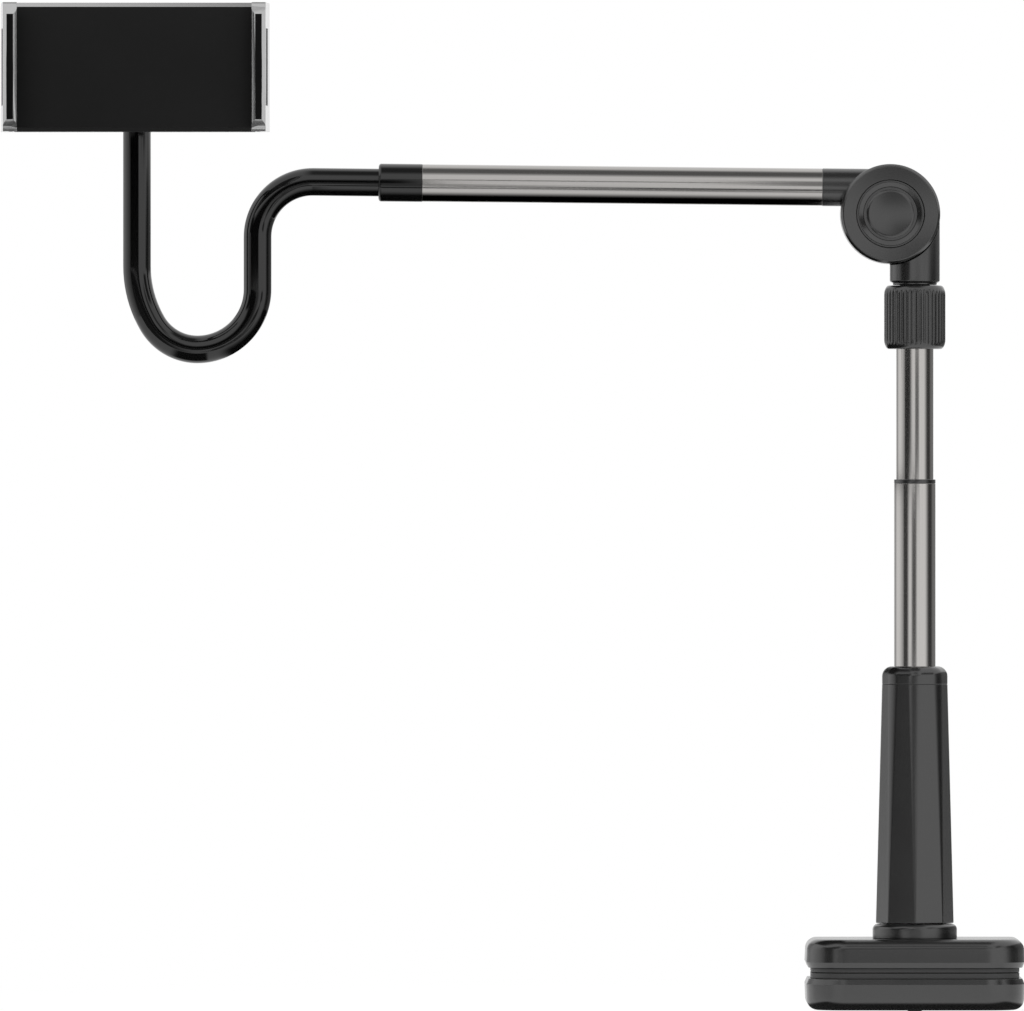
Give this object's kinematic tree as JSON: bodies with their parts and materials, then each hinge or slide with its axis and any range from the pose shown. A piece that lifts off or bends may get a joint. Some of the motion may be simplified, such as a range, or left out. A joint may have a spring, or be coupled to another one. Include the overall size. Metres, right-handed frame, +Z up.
{
  "type": "articulated tablet holder",
  "caption": "Spring-clip stand with a telescoping mast, a pivoting arm and a bendable neck that carries a spring-loaded tablet cradle on a ball joint.",
  "frame": {"origin": "middle of the clip's closed mouth, on the mast's axis", "axes": "+Z up the mast, -Y out of the clip's mouth to the front, the arm points to -X"},
  "size_m": [0.5513, 0.182, 0.5435],
  "materials": {
    "black_plastic": "satin black",
    "nylon": "natural nylon",
    "tube_metal": "satin grey anodised",
    "gloss_black": "gloss black",
    "gooseneck_skin": "smooth black sleeve",
    "claw_grey": "dark grey metallic",
    "rubber": "matte black",
    "steel": "plain"
  },
  "bodies": {
    "clip": {"upper_jaw": "black_plastic", "upper_jaw_pad": "rubber", "jaw_hinge_pin": "steel", "jaw_spring": "steel", "swivel_collar": "black_plastic", "swivel_friction_washer": "nylon", "swivel_bolt": "steel", "swivel_nut": "steel", "swivel_washer": "steel"},
    "moving_jaw": {"lower_jaw": "black_plastic", "lower_jaw_pad": "rubber", "lower_jaw_screw": "steel"},
    "column": {"column_body": "black_plastic", "column_cap": "black_plastic"},
    "lower_mast": {"lower_tube": "tube_metal", "lower_tube_ring": "black_plastic", "lower_tube_bush": "nylon"},
    "upper_mast": {"upper_tube": "tube_metal", "upper_tube_bush": "nylon", "collet": "nylon"},
    "knob": {"lock_knob": "black_plastic"},
    "mast_head": {"elbow": "black_plastic", "pivot_rear_cap": "black_plastic", "pivot_bolt": "steel", "pivot_nut": "steel", "pivot_spring_washer": "steel", "pivot_friction_washer": "nylon"},
    "arm": {"arm_hub": "black_plastic", "pivot_ring": "black_plastic", "pivot_cap": "black_plastic", "arm_tube": "tube_metal", "arm_sleeve": "gloss_black", "gooseneck": "gooseneck_skin", "ball_stud": "steel"},
    "seat_ring": {"ball_seat_ring": "nylon"},
    "lock_nut": {"ball_lock_nut": "black_plastic"},
    "cradle": {"cradle_back": "black_plastic", "cradle_panel": "gloss_black", "cradle_screws": "steel", "claw_spring_left_upper": "steel", "claw_spring_left_lower": "steel", "claw_spring_right": "steel"},
    "left_claw": {"claw_left": "claw_grey", "claw_pad_left": "rubber", "claw_grip_left": "rubber", "claw_band_left": "rubber"},
    "right_claw": {"claw_right": "claw_grey", "claw_pad_right": "rubber", "claw_grip_right": "rubber", "claw_band_right": "rubber"}
  },
  "joints": [
    {"name": "jaw_open", "type": "hinge", "parent": "clip", "child": "moving_jaw", "pos_m": [0, 0.04, 0], "axis": [1, 0, 0], "range_deg": [0, 28], "stiffness_Nm_per_rad": 3, "springref_deg": -34.38, "deforming": ["jaw_spring"]},
    {"name": "column_swivel", "type": "hinge", "parent": "clip", "child": "column", "pos_m": [0, 0, 0.0263], "axis": [0, 0, 1], "continuous": true},
    {"name": "lower_tube_slide", "type": "slide", "parent": "column", "child": "lower_mast", "axis": [0, 0, 1], "range_m": [-0.0915, 0.008]},
    {"name": "upper_tube_slide", "type": "slide", "parent": "lower_mast", "child": "upper_mast", "axis": [0, 0, 1], "range_m": [-0.07, 0.0435]},
    {"name": "knob_turn", "type": "hinge", "parent": "upper_mast", "child": "knob", "pos_m": [0, 0, 0.353], "axis": [0, 0, 1], "range_deg": [0, 270]},
    {"name": "head_swivel", "type": "hinge", "parent": "upper_mast", "child": "mast_head", "pos_m": [0, 0, 0.37], "axis": [0, 0, 1], "continuous": true},
    {"name": "arm_pivot", "type": "hinge", "parent": "mast_head", "child": "arm", "pos_m": [-0.01335, 0, 0.40905], "axis": [0, 1, 0], "range_deg": [-60, 85]},
    {"name": "cradle_pan", "type": "hinge", "parent": "arm", "child": "seat_ring", "pos_m": [-0.42, -0.047, 0.4869], "axis": [0, 0, 1], "range_deg": [-20, 20]},
    {"name": "cradle_tilt", "type": "hinge", "parent": "seat_ring", "child": "lock_nut", "pos_m": [-0.42, -0.047, 0.4869], "axis": [1, 0, 0], "range_deg": [-20, 20]},
    {"name": "cradle_roll", "type": "hinge", "parent": "lock_nut", "child": "cradle", "pos_m": [-0.42, -0.047, 0.4869], "axis": [0, 1, 0], "continuous": true},
    {"name": "left_claw_slide", "type": "slide", "parent": "cradle", "child": "left_claw", "axis": [-1, 0, 0], "range_m": [0, 0.045], "stiffness_N_per_m": 120, "springref_m": -0.03, "deforming": ["claw_spring_left_upper", "claw_spring_left_lower"]},
    {"name": "right_claw_slide", "type": "slide", "parent": "cradle", "child": "right_claw", "axis": [1, 0, 0], "range_m": [0, 0.045], "stiffness_N_per_m": 120, "springref_m": -0.03, "deforming": ["claw_spring_right"]}
  ]
}
